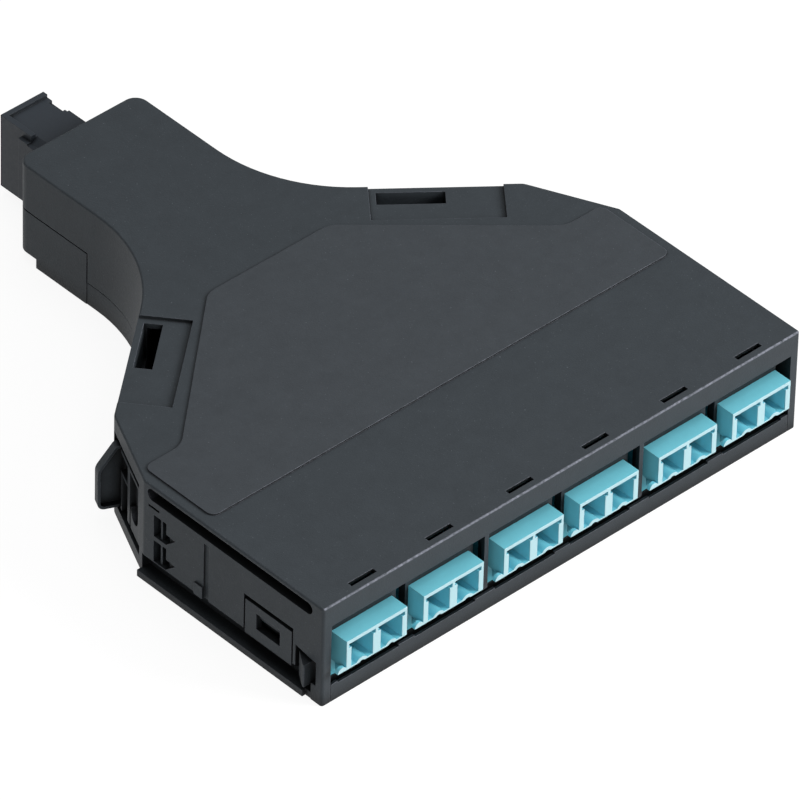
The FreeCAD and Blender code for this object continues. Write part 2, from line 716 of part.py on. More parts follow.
def mpo_passage():
    """Opening for the MPO adapter in the neck's rear wall."""
    half_width = MPO_WIDTH / 2 + FIT_GAP
    half_height = MPO_HEIGHT / 2 + FIT_GAP
    return box(-half_width, half_width, HOUSING_LENGTH - WALL - 1, HOUSING_LENGTH + 1,
               MPO_AXIS_HEIGHT - half_height, MPO_AXIS_HEIGHT + half_height)


def saddle():
    """Seat on the base under the fan-out block."""
    half = fanout_half_width() - SADDLE_WALL
    top = MPO_AXIS_HEIGHT - FANOUT_HEIGHT / 2 - SEAM_GAP
    rear = FANOUT_FRONT + FANOUT_LENGTH
    outer = box(-half, half, FANOUT_FRONT + 1, rear - 1, FLOOR_THICKNESS - 0.5, top)
    inner = box(-half + SADDLE_WALL, half - SADDLE_WALL, FANOUT_FRONT + 1 + SADDLE_WALL,
                rear - 1 - SADDLE_WALL, FLOOR_THICKNESS - 1, top + 1)
    return outer.cut(inner)


def make_base_tray():
    """Lower housing."""
    behind_seam = box(-HALF_WIDTH, HALF_WIDTH, NECK_SEAM_Y, HOUSING_LENGTH + 1, -1, HEIGHT)
    before_side_end = box(-HALF_WIDTH, HALF_WIDTH, -1, POST_DEPTH, -1, HEIGHT)
    tray = housing(0.0, SEAM_HEIGHT, BASE_INSET).fuse([
        housing(0.0, NECK_SEAM_HEIGHT).common(behind_seam),
        housing(0.0, SEAM_HEIGHT).common(before_side_end),
    ])
    raised_floor = NECK_STEP_HEIGHT + NECK_FLOOR_THICKNESS
    step = box(-HALF_WIDTH, HALF_WIDTH, NECK_STEP_Y, HOUSING_LENGTH + 1, -1, NECK_STEP_HEIGHT)
    over_step = box(-HALF_WIDTH, HALF_WIDTH, NECK_STEP_Y - FLOOR_THICKNESS, HOUSING_LENGTH + 1, 0, raised_floor)
    front_room = box(-HALF_WIDTH, HALF_WIDTH, -1, BACK_WALL_END, 0, HEIGHT)
    cavity = housing(FLOOR_THICKNESS, NECK_SEAM_HEIGHT + 1, WALL + BASE_INSET).cut([front_room, over_step])
    window = box(-WINDOW_HALF, WINDOW_HALF, -1, BACK_WALL_Y, SILL_HEIGHT, HEIGHT)
    trough = box(-WINDOW_HALF, WINDOW_HALF, SILL_THICKNESS, BACK_WALL_Y, FLOOR_THICKNESS, HEIGHT)
    post_room = box(WINDOW_HALF - FIT_GAP, HALF_WIDTH + 1, -1, POST_DEPTH + FIT_GAP, -1, HEIGHT)
    tray = tray.cut([step, cavity, window, trough] + both_sides(post_room))
    outer = HALF_WIDTH - CHANNEL_DEPTH
    side_wall = box(outer - CHANNEL_WALL, outer, BACK_WALL_END - 1, SIDE_LENGTH, FLOOR_THICKNESS - 0.5, SEAM_HEIGHT)
    rail = box(outer - 1, HALF_WIDTH + RAIL_RISE, RAIL_START, SIDE_LENGTH + RAIL_OVERRUN, 0.0, RAIL_HEIGHT)
    channel = box(outer, HALF_WIDTH + 1, POST_DEPTH, SIDE_LENGTH + RAIL_OVERRUN, RAIL_HEIGHT, SEAM_HEIGHT + 1)
    boss, hole = lower_pivot_boss()
    tray = tray.fuse(both_sides(side_wall) + both_sides(rail) + [saddle()] + both_sides(boss))
    tray = tray.cut(both_sides(channel) + both_sides(hole) + both_sides(latch_window())
                    + adapter_envelopes() + gap_slots() + [mpo_passage()])
    hook_root = box(outer - 0.5, HALF_WIDTH - WALL + 0.2, HOOK_START, HOOK_END, HOOK_LOW, SEAM_HEIGHT)
    return tray.fuse(both_sides(tongue()) + both_sides(hook()) + both_sides(hook_root)).removeSplitter()


def lc_port(offset, start, end):
    """Hollow of one LC port, with the wider slot for the plug's latch."""
    half = PORT_WIDTH / 2
    top = ADAPTER_TOP - ADAPTER_TOP_WALL
    body = box(offset - half, offset + half, start, end, PORT_FLOOR, top)
    slot = box(offset - LATCH_SLOT_WIDTH / 2, offset + LATCH_SLOT_WIDTH / 2, start, end,
               top - LATCH_SLOT_HEIGHT, top)
    return body.fuse(slot)


def make_adapter(centre):
    """Duplex LC adapter: ports on both sides of a middle web, with sleeve barrels and a mouth key."""
    half = ADAPTER_WIDTH / 2
    body = box(-half, half, ADAPTER_FRONT, ADAPTER_REAR, ADAPTER_BOTTOM, ADAPTER_TOP)
    ports = []
    barrels = []
    bores = []
    for offset in PORT_OFFSETS:
        ports.append(lc_port(offset, ADAPTER_FRONT - 1, ADAPTER_FRONT + PORT_DEPTH))
        ports.append(lc_port(offset, ADAPTER_REAR - PORT_DEPTH, ADAPTER_REAR + 1))
        mouth = Vec(offset, ADAPTER_FRONT, FERRULE_AXIS)
        end = Vec(offset, BARREL_END, FERRULE_AXIS)
        strip = box(offset - PORT_WIDTH / 2 - 0.2, offset + PORT_WIDTH / 2 + 0.2, ADAPTER_FRONT,
                    ADAPTER_STEP_Y + MOUTH_STRIP_HEIGHT, STEP_LEVEL, STEP_LEVEL + MOUTH_STRIP_HEIGHT)
        barrels += [rod(BARREL_RADIUS, mouth, end), strip]
        bores.append(rod(SLEEVE_RADIUS + RUNNING_GAP, mouth - Vec(0, 1, 0), end + Vec(0, 1, 0)))
    key_x = -half - SIDE_KEY_RADIUS + FIT_GAP
    side_key = rod(SIDE_KEY_RADIUS, Vec(key_x, ADAPTER_FRONT, STEP_LEVEL),
                   Vec(key_x, ADAPTER_FRONT + SIDE_KEY_DEPTH, STEP_LEVEL))
    shape = body.cut(ports).fuse(barrels + [side_key]).cut(bores)
    step = box(-2 * half, 2 * half, ADAPTER_FRONT - 1, ADAPTER_STEP_Y, 0, STEP_LEVEL)
    shape = shape.cut(step).removeSplitter()
    shape.translate(Vec(centre, 0, 0))
    return shape


def at_ports(shape):
    """Copies of a shape on every port's axis."""
    copies = []
    for x in PORT_CENTRES:
        copy = shape.copy()
        copy.translate(Vec(x, 0, FERRULE_AXIS))
        copies.append(copy)
    return Part.makeCompound(copies)


def make_sleeves():
    """Split alignment sleeves, each centred in its barrel."""
    start = Vec(0, ADAPTER_MIDDLE - SLEEVE_LENGTH / 2, 0)
    end = Vec(0, ADAPTER_MIDDLE + SLEEVE_LENGTH / 2, 0)
    tube = rod(SLEEVE_RADIUS, start, end)
    hole = rod(FERRULE_RADIUS, start - Vec(0, 1, 0), end + Vec(0, 1, 0))
    split = box(-0.1, 0.1, start.y - 1, end.y + 1, 0, SLEEVE_RADIUS + 1)
    return at_ports(tube.cut([hole, split]))


def make_ferrules():
    """Ceramic ferrules of the inner plugs, half way into the sleeves."""
    start = Vec(0, ADAPTER_MIDDLE, 0)
    end = Vec(0, PLUG_FRONT + PLUG_CAVITY_DEPTH + 2.0, 0)
    return at_ports(rod(FERRULE_RADIUS - RUNNING_GAP / 2, start, end))


def make_plugs():
    """Square bodies of the inner LC plugs."""
    half = PLUG_SIZE / 2
    body = box(-half, half, PLUG_FRONT, PLUG_REAR, -half, half)
    cavity = rod(PLUG_CAVITY_RADIUS, Vec(0, PLUG_FRONT - 1, 0), Vec(0, PLUG_FRONT + PLUG_CAVITY_DEPTH, 0))
    seat = rod(FERRULE_RADIUS + RUNNING_GAP, Vec(0, PLUG_FRONT, 0),
               Vec(0, PLUG_FRONT + PLUG_CAVITY_DEPTH + 2.2, 0))
    return at_ports(body.cut([cavity, seat]))


def make_boots():
    """Tapered boots behind the inner plugs."""
    cone = Part.makeCone(BOOT_RADIUS, BOOT_TIP_RADIUS, BOOT_LENGTH, Vec(0, PLUG_REAR, 0), Vec(0, 1, 0))
    hole = rod(FIBRE_RADIUS + RUNNING_GAP, Vec(0, BOOT_END - FIBRE_STUB, 0), Vec(0, BOOT_END + 1, 0))
    return at_ports(cone.cut(hole))


def fanout_half_width():
    """Half the width of the fan-out block."""
    return FANOUT_PITCH * (len(PORT_CENTRES) - 1) / 2 + FIBRE_RADIUS + FANOUT_MARGIN


def fibre(start, end):
    """Fibre on an S of two equal arcs between two points, leaving and arriving along Y, and the arcs' radius."""
    across = Vec(end.x - start.x, 0, end.z - start.z)
    length = start.y - end.y
    half_turn = math.atan2(across.Length, length)
    radius = length / (2 * math.sin(2 * half_turn))
    side = Vec(across).normalize()
    back = Vec(0, -1, 0)
    middle = (start + end) * 0.5

    def on_arc(origin, direction, sign):
        reach = back * (sign * radius * math.sin(half_turn))
        return origin + reach + direction * (radius * (1 - math.cos(half_turn)))

    stub = Vec(0, -FIBRE_STUB, 0)
    edges = [
        Part.Arc(start, on_arc(start, side, 1), middle).toShape(),
        Part.Arc(middle, on_arc(end, side * -1, -1), end).toShape(),
        Part.LineSegment(end, end + stub).toShape(),
    ]
    path = Part.Wire(edges)
    circle = Part.Wire([Part.makeCircle(FIBRE_RADIUS, start, back)])
    return path.makePipeShell([circle], True, False), radius


def make_fibres():
    """Twelve fibres from the fan-out block to the boots, in order from left to right."""
    middle = (len(PORT_CENTRES) - 1) / 2
    fibres = []
    radii = []
    for index, x in enumerate(PORT_CENTRES):
        start = Vec((index - middle) * FANOUT_PITCH, FANOUT_FRONT, MPO_AXIS_HEIGHT)
        end = Vec(x, BOOT_END, FERRULE_AXIS)
        shape, radius = fibre(start, end)
        fibres.append(shape)
        radii.append(round(radius, 1))
    print("fibre arc radii, mm", radii)
    return Part.makeCompound(fibres)


def make_fanout():
    """Block in which the ribbon splits into single fibres."""
    half = fanout_half_width()
    low = MPO_AXIS_HEIGHT - FANOUT_HEIGHT / 2
    block = box(-half, half, FANOUT_FRONT, FANOUT_FRONT + FANOUT_LENGTH, low, low + FANOUT_HEIGHT)
    upright = [edge for edge in block.Edges if edge.BoundBox.ZLength > FANOUT_HEIGHT / 2]
    return block.makeFillet(1.0, upright)


def make_ribbon():
    """Flat ribbon, set on edge, from the fan-out block into the inner MPO plug."""
    start = FANOUT_FRONT + FANOUT_LENGTH
    half = RIBBON_THICKNESS / 2
    return box(-half, half, start, mpo_ferrule_front(), MPO_AXIS_HEIGHT - RIBBON_WIDTH / 2,
               MPO_AXIS_HEIGHT + RIBBON_WIDTH / 2)


def mpo_ferrule_front():
    """Where the inner MPO ferrule begins."""
    return MPO_WEB_Y + MPO_WEB / 2 - MPO_FERRULE_LENGTH


def mpo_box(width, height, start, end):
    """Box centred on the MPO axis."""
    return box(-width / 2, width / 2, start, end, MPO_AXIS_HEIGHT - height / 2, MPO_AXIS_HEIGHT + height / 2)


def make_mpo_adapter():
    """MPO adapter on edge: sockets on both sides of a web, latch arms in the rear one, a hood outside."""
    web_end = MPO_WEB_Y + MPO_WEB
    hood_start = HOUSING_LENGTH + SEAM_GAP
    collar_end = HOUSING_LENGTH + MPO_COLLAR_LENGTH
    body = mpo_box(MPO_WIDTH, MPO_HEIGHT, MPO_FRONT, MPO_REAR).fuse([
        mpo_box(MPO_WIDTH, MPO_HOOD_HEIGHT, hood_start, MPO_REAR),
        mpo_box(MPO_WIDTH + 2 * MPO_COLLAR, MPO_HEIGHT, hood_start, collar_end),
    ])
    inner_width = MPO_WIDTH - 2 * MPO_WALL
    inner_height = MPO_HEIGHT - 2 * MPO_WALL
    cuts = [
        mpo_box(inner_width, inner_height, MPO_FRONT - 1, MPO_WEB_Y),
        mpo_box(inner_width, inner_height, web_end, MPO_REAR + 1),
        mpo_box(MPO_FERRULE_WIDTH + 4 * FIT_GAP, MPO_FERRULE_HEIGHT + 4 * FIT_GAP, MPO_FRONT, MPO_REAR),
    ]
    return body.cut(cuts + mpo_outer_cuts()).fuse(mpo_arms(web_end, inner_height)).removeSplitter()


def mpo_outer_cuts():
    """Sunken top behind the rim, the notch in the right edge and the chamfer of the left one."""
    top = MPO_AXIS_HEIGHT + MPO_HOOD_HEIGHT / 2
    half = MPO_WIDTH / 2
    sunken = box(-half + MPO_RIM, half + 1, HOUSING_LENGTH, MPO_REAR - MPO_RIM, top - MPO_TOP_INSET, top + 1)
    notch_end = MPO_REAR - MPO_NOTCH_START
    notch = box(half - MPO_SIDE_NOTCH, half + 1, notch_end - MPO_NOTCH_LENGTH, notch_end,
                top - MPO_HOOD_RISE, top + 1)
    points = [
        Vec(-half - 1, HOUSING_LENGTH, top + 1),
        Vec(-half - 1, HOUSING_LENGTH, top - MPO_CHAMFER_DEPTH),
        Vec(-half, HOUSING_LENGTH, top - MPO_CHAMFER_DEPTH),
        Vec(-half + MPO_CHAMFER_WIDTH, HOUSING_LENGTH, top),
        Vec(-half + MPO_CHAMFER_WIDTH, HOUSING_LENGTH, top + 1),
    ]
    chamfer = Part.Face(Part.makePolygon(points + points[:1])).extrude(Vec(0, MPO_CHAMFER_LENGTH, 0))
    return [sunken, notch, chamfer]


def mpo_arms(web_end, inner_height):
    """Latch arms with inward hooks, above and below the plug's room."""
    arms = []
    for side in (-1, 1):
        outer = MPO_AXIS_HEIGHT + side * (inner_height / 2 - MPO_ARM_GAP)
        inner = outer - side * MPO_ARM_THICKNESS
        tip = inner - side * MPO_ARM_HOOK
        half = MPO_ARM_WIDTH / 2
        end = web_end + MPO_ARM_LENGTH
        points = [
            (web_end - 0.3, outer),
            (end, outer),
            (end, inner),
            (end - 1.0, tip),
            (end - 1.6, inner),
            (web_end - 0.3, inner),
        ]
        arms.append(side_prism(points, -half, half))
    return arms


def make_mpo_plug():
    """Housing of the inner MPO plug, with the ferrule's room and the ribbon's slot."""
    end = MPO_WEB_Y - FIT_GAP
    body = mpo_box(MPO_PLUG_WIDTH, MPO_PLUG_HEIGHT, end - MPO_PLUG_LENGTH, end)
    long_edges = [edge for edge in body.Edges if edge.BoundBox.YLength > MPO_PLUG_LENGTH / 2]
    body = body.makeFillet(0.8, long_edges)
    front = mpo_ferrule_front()
    room = mpo_box(MPO_FERRULE_WIDTH + FIT_GAP, MPO_FERRULE_HEIGHT + FIT_GAP, front, end + 1)
    slot = mpo_box(RIBBON_THICKNESS + 2 * FIT_GAP, RIBBON_WIDTH + 2 * FIT_GAP, end - MPO_PLUG_LENGTH - 1, end)
    return body.cut([room, slot])


def make_mpo_ferrule():
    """Rectangular ferrule with two pin holes."""
    front = mpo_ferrule_front()
    body = mpo_box(MPO_FERRULE_WIDTH, MPO_FERRULE_HEIGHT, front, front + MPO_FERRULE_LENGTH)
    return body.cut(guide_pin_rods(GUIDE_PIN_RADIUS + RUNNING_GAP))


def guide_pin_rods(radius):
    """Rods on the two guide pin axes."""
    end = mpo_ferrule_front() + MPO_FERRULE_LENGTH + GUIDE_PIN_REACH
    rods = []
    for side in (-1, 1):
        height = MPO_AXIS_HEIGHT + side * GUIDE_PIN_SPACING / 2
        rods.append(rod(radius, Vec(0, end - GUIDE_PIN_LENGTH, height), Vec(0, end, height)))
    return rods


def thumb_tab():
    """Finger cap on the right latch, closed at the rear and open to the front."""
    corner, along, outward = chamfer_frame()
    start = corner + along * LATCH_START
    top = LATCH_TOP + TAB_RISE
    back = -LATCH_SETBACK + LATCH_SKIN / 2
    profile = [
        (back, LATCH_LOW, 0.0),
        (TAB_REACH, LATCH_LOW, TAB_RADIUS / 2),
        (TAB_REACH, top - TAB_SLOPE_DROP, TAB_RADIUS),
        (TAB_SLOPE_START, top, TAB_RADIUS / 3),
        (back, top, 0.0),
    ]

    def cap(inset, first, last):
        face = rounded_face(inset_vertices(profile, inset))
        face.rotate(Vec(0, 0, 0), Vec(1, 0, 0), 90)
        face.rotate(Vec(0, 0, 0), Vec(0, 0, 1), math.degrees(math.atan2(outward.y, outward.x)))
        face.translate(start + along * first)
        return face.extrude(along * (last - first))

    outer = cap(0.0, 0.0, TAB_WIDTH)
    return outer.cut(cap(TAB_WALL, TAB_WALL, TAB_WIDTH + 1))


def make_latch():
    """Right latch: a ribbed plate on a pivot barrel, with the finger cap at its free end."""
    frame = chamfer_frame()
    back = -LATCH_SETBACK
    face = -LATCH_FACE
    rib_end = LATCH_HIGH_RIB + LATCH_HIGH_RIB_WIDTH
    plate = framed_box(frame, LATCH_START, LATCH_END, back, back + LATCH_SKIN, LATCH_LOW, LATCH_TOP)
    low_rib = framed_box(frame, LATCH_LOW_RIB, LATCH_LOW_RIB + LATCH_RIB, back, face, LATCH_LOW, LATCH_LOW_RIB_TOP)
    bridge = framed_box(frame, LATCH_LOW_RIB, rib_end, back, face, LATCH_LOW_RIB_TOP - LATCH_RIB, LATCH_LOW_RIB_TOP)
    block = framed_box(frame, LATCH_HIGH_RIB, LATCH_END, back, face, LATCH_LOW + LATCH_RIB, LATCH_TOP - LATCH_RIB)
    room = framed_box(frame, rib_end, POCKET_START, back + LATCH_SKIN, 1, LATCH_LOW, LATCH_TOP + 1)
    lip = framed_box(frame, LATCH_LOW_RIB, LATCH_END, back, face, LATCH_TOP - LATCH_RIB, LATCH_TOP)
    body = joined([plate, low_rib, bridge, block, thumb_tab()]).cut([room, latch_pocket()])
    barrel = rod(PIVOT_BARREL_RADIUS, pivot_point(LATCH_LOW), pivot_point(LATCH_TOP))
    pin = rod(PIVOT_PIN_RADIUS, pivot_point(LATCH_LOW - PIVOT_PIN_LENGTH), pivot_point(LATCH_TOP + PIVOT_PIN_LENGTH))
    return joined([body, lip, barrel, pin])


def latch_pocket():
    """Round-bottomed pocket in the right latch's thick end."""
    corner, along, outward = chamfer_frame()
    radius = (POCKET_END - POCKET_START) / 2
    deep = -LATCH_SETBACK + LATCH_SKIN
    middle = corner + along * (POCKET_START + radius) + Vec(0, 0, POCKET_LOW + radius)
    upper = framed_box(chamfer_frame(), POCKET_START, POCKET_END, deep, 1, POCKET_LOW + radius, LATCH_TOP)
    return upper.fuse(rod(radius, middle + outward * deep, middle + outward))


def export(name, shape):
    """Write one sub-part and say how large it is."""
    shape.exportStep(os.path.join("parts", name + ".step"))
    size = shape.BoundBox
    print(name, len(shape.Solids), "solids", round(shape.Volume, 1), "mm3",
          [round(value, 2) for value in (size.XLength, size.YLength, size.ZLength)], shape.isValid())


def main():
    """Build and write every sub-part."""
    os.makedirs("parts", exist_ok=True)
    export("top_cover", make_top_cover())
    export("base_tray", make_base_tray())
    for number, centre in enumerate(ADAPTER_CENTRES, start=1):
        export("lc_adapter_%d" % number, make_adapter(centre))
    export("alignment_sleeves", make_sleeves())
    export("inner_ferrules", make_ferrules())
    export("inner_plugs", make_plugs())
    export("inner_boots", make_boots())
    export("inner_fibres", make_fibres())
    export("fanout_block", make_fanout())
    export("fibre_ribbon", make_ribbon())
    export("mpo_adapter", make_mpo_adapter())
    export("mpo_plug", make_mpo_plug())
    export("mpo_ferrule", make_mpo_ferrule())
    export("guide_pins", Part.makeCompound(guide_pin_rods(GUIDE_PIN_RADIUS)))
    latch = make_latch()
    export("side_latch_right", latch)
    export("side_latch_left", mirrored(latch))


main()
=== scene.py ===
"""Fibre cassette on a pale table: finishes for the moulded housing, the ports and the inner parts."""

import logging
import math
from dataclasses import dataclass, field
from enum import Enum

import bmesh
import bpy
from mathutils import Matrix, Vector

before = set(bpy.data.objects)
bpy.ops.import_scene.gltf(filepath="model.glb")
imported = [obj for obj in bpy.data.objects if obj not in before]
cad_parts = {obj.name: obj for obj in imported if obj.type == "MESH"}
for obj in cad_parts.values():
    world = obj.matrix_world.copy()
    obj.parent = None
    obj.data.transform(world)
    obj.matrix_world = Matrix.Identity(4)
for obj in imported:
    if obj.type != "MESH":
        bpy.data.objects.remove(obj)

LOG = logging.getLogger("fibre_cassette")
MM = 0.001
WHITE = (1.0, 1.0, 1.0, 1.0)

# Sockets of a Mix node that is set to RGBA.
MIX_FIRST = 6
MIX_SECOND = 7
MIX_RESULT = 2

# The Bevel node's softened normal, and how far it has to leave the flat one for an edge to be painted paler,
# partly as rubbed wear and partly as a painted highlight on the rounded edge.
BEVEL_SAMPLES = 6
RUB_AND_HIGHLIGHT_BEGINS = 0.98
RUB_AND_HIGHLIGHT_FULL = 0.90

# The housing's front top edge faces half forwards and half up, towards the front lamp, and gets a painted
# highlight there.
FRONT_EDGE_FACING = (0.0, -0.7071, 0.7071)
FRONT_EDGE_BEGINS = 0.80
FRONT_EDGE_FULL = 0.93

# Share of open sky at which the painted crevice shade is darkest, and from which on it is not darkened.
CREVICE_SAMPLES = 8
CREVICE_DARKEST = 0.42
CREVICE_OPEN = 0.85

# How far the grain takes the roughness up and down.
GRAIN_GLOSS = 0.05

# The wave texture turns by this many radians a metre at a scale of one.
WAVE_RADIANS = 20.0


class Axis(Enum):
    """Object axis along which a colour turns into another one."""

    INWARD = "Y"
    UPWARD = "Z"


def linear(hex_colour: str) -> tuple[float, float, float, float]:
    """Turn an sRGB hex colour into linear values.

    Args:
        hex_colour: six hex digits with or without a leading hash.

    Returns:
        Linear red, green, blue and an alpha of one.
    """
    digits = hex_colour.lstrip("#")
    channels = []
    # The numbers are those of the sRGB curve.
    for start in (0, 2, 4):
        value = int(digits[start:start + 2], 16) / 255.0
        channels.append(value / 12.92 if value <= 0.04045 else ((value + 0.055) / 1.055) ** 2.4)
    return channels[0], channels[1], channels[2], 1.0


def add_node(tree: bpy.types.NodeTree, kind: str, settings: dict[str, object] | None = None,
             inputs: dict[str | int, object] | None = None) -> bpy.types.Node:
    """Add a node, set its options, and fill or link its sockets.

    Args:
        tree: the node tree to add to.
        kind: the node's Blender type name.
        settings: attribute names and values.
        inputs: socket names or numbers and either plain values or output sockets to link from.

    Returns:
        The new node.
    """
    node = tree.nodes.new(kind)
    for name, value in (settings or {}).items():
        setattr(node, name, value)
    for name, value in (inputs or {}).items():
        socket = node.inputs[name]
        if isinstance(value, bpy.types.NodeSocket):
            tree.links.new(value, socket)
        else:
            socket.default_value = value
    return node


def new_material(name: str) -> tuple[bpy.types.Material, bpy.types.NodeTree, bpy.types.Node]:
    """Make an empty node material.

    Args:
        name: the material's plain name.

    Returns:
        The material, its tree and its shader node, which is linked to the output.
    """
    material = bpy.data.materials.new(name)
    material.use_nodes = True
    tree = material.node_tree
    tree.nodes.clear()
    shader = add_node(tree, "ShaderNodeBsdfPrincipled")
    add_node(tree, "ShaderNodeOutputMaterial", inputs={"Surface": shader.outputs["BSDF"]})
    return material, tree, shader


@dataclass(frozen=True)
class Pattern:
    """A noise pattern: its size in millimetres, its fineness, and the band of its values that counts."""

    size: float
    detail: float = 3.0
    roughness: float = 0.6
    low: float = 0.3
    high: float = 0.7

    @property
    def scale(self) -> float:
        """The noise scale that gives this size."""
        return 1.0 / (self.size * MM)


# Flow and cooling of the melt leave broad, very faint clouds.
MOTTLE = Pattern(size=5.0, detail=6.0, roughness=0.85)
# Pale specks painted where grain tips catch the light: painted glints. Real ones are finer than a pixel of
# the photograph, which is 0.16 mm wide.
GLINT_SPECKS = Pattern(size=0.30, detail=2.0, roughness=0.7, low=0.70, high=0.75)
# Fingers rub an edge in short lengths, not evenly; the painted edge highlight is broken up the same way.
RUB_AND_HIGHLIGHT_PATCHES = Pattern(size=0.9, detail=4.0, roughness=0.8, low=0.32, high=0.62)


@dataclass(frozen=True)
class Fade:
    """Another colour that takes over along an axis, such as the painted shade at the deep end of a port or
    the painted highlight on its front face.

    Places are in millimetres.
    """

    axis: Axis
    colour: str
    start: float
    end: float

    def over(self, tree: bpy.types.NodeTree, place: bpy.types.NodeSocket,
             colour: bpy.types.NodeSocket | tuple[float, float, float, float]) -> bpy.types.NodeSocket:
        """Lay the fade over a colour.

        Args:
            tree: the material's tree.
            place: Object coordinates.
            colour: the colour so far.

        Returns:
            The colour socket.
        """
        parts = add_node(tree, "ShaderNodeSeparateXYZ", inputs={"Vector": place})
        mask = add_node(tree, "ShaderNodeMapRange", inputs={
            "Value": parts.outputs[self.axis.value], "From Min": self.start * MM, "From Max": self.end * MM})
        mixed = add_node(tree, "ShaderNodeMix", {"data_type": "RGBA"}, {
            "Factor": mask.outputs["Result"], MIX_FIRST: colour, MIX_SECOND: linear(self.colour)})
        return mixed.outputs[MIX_RESULT]


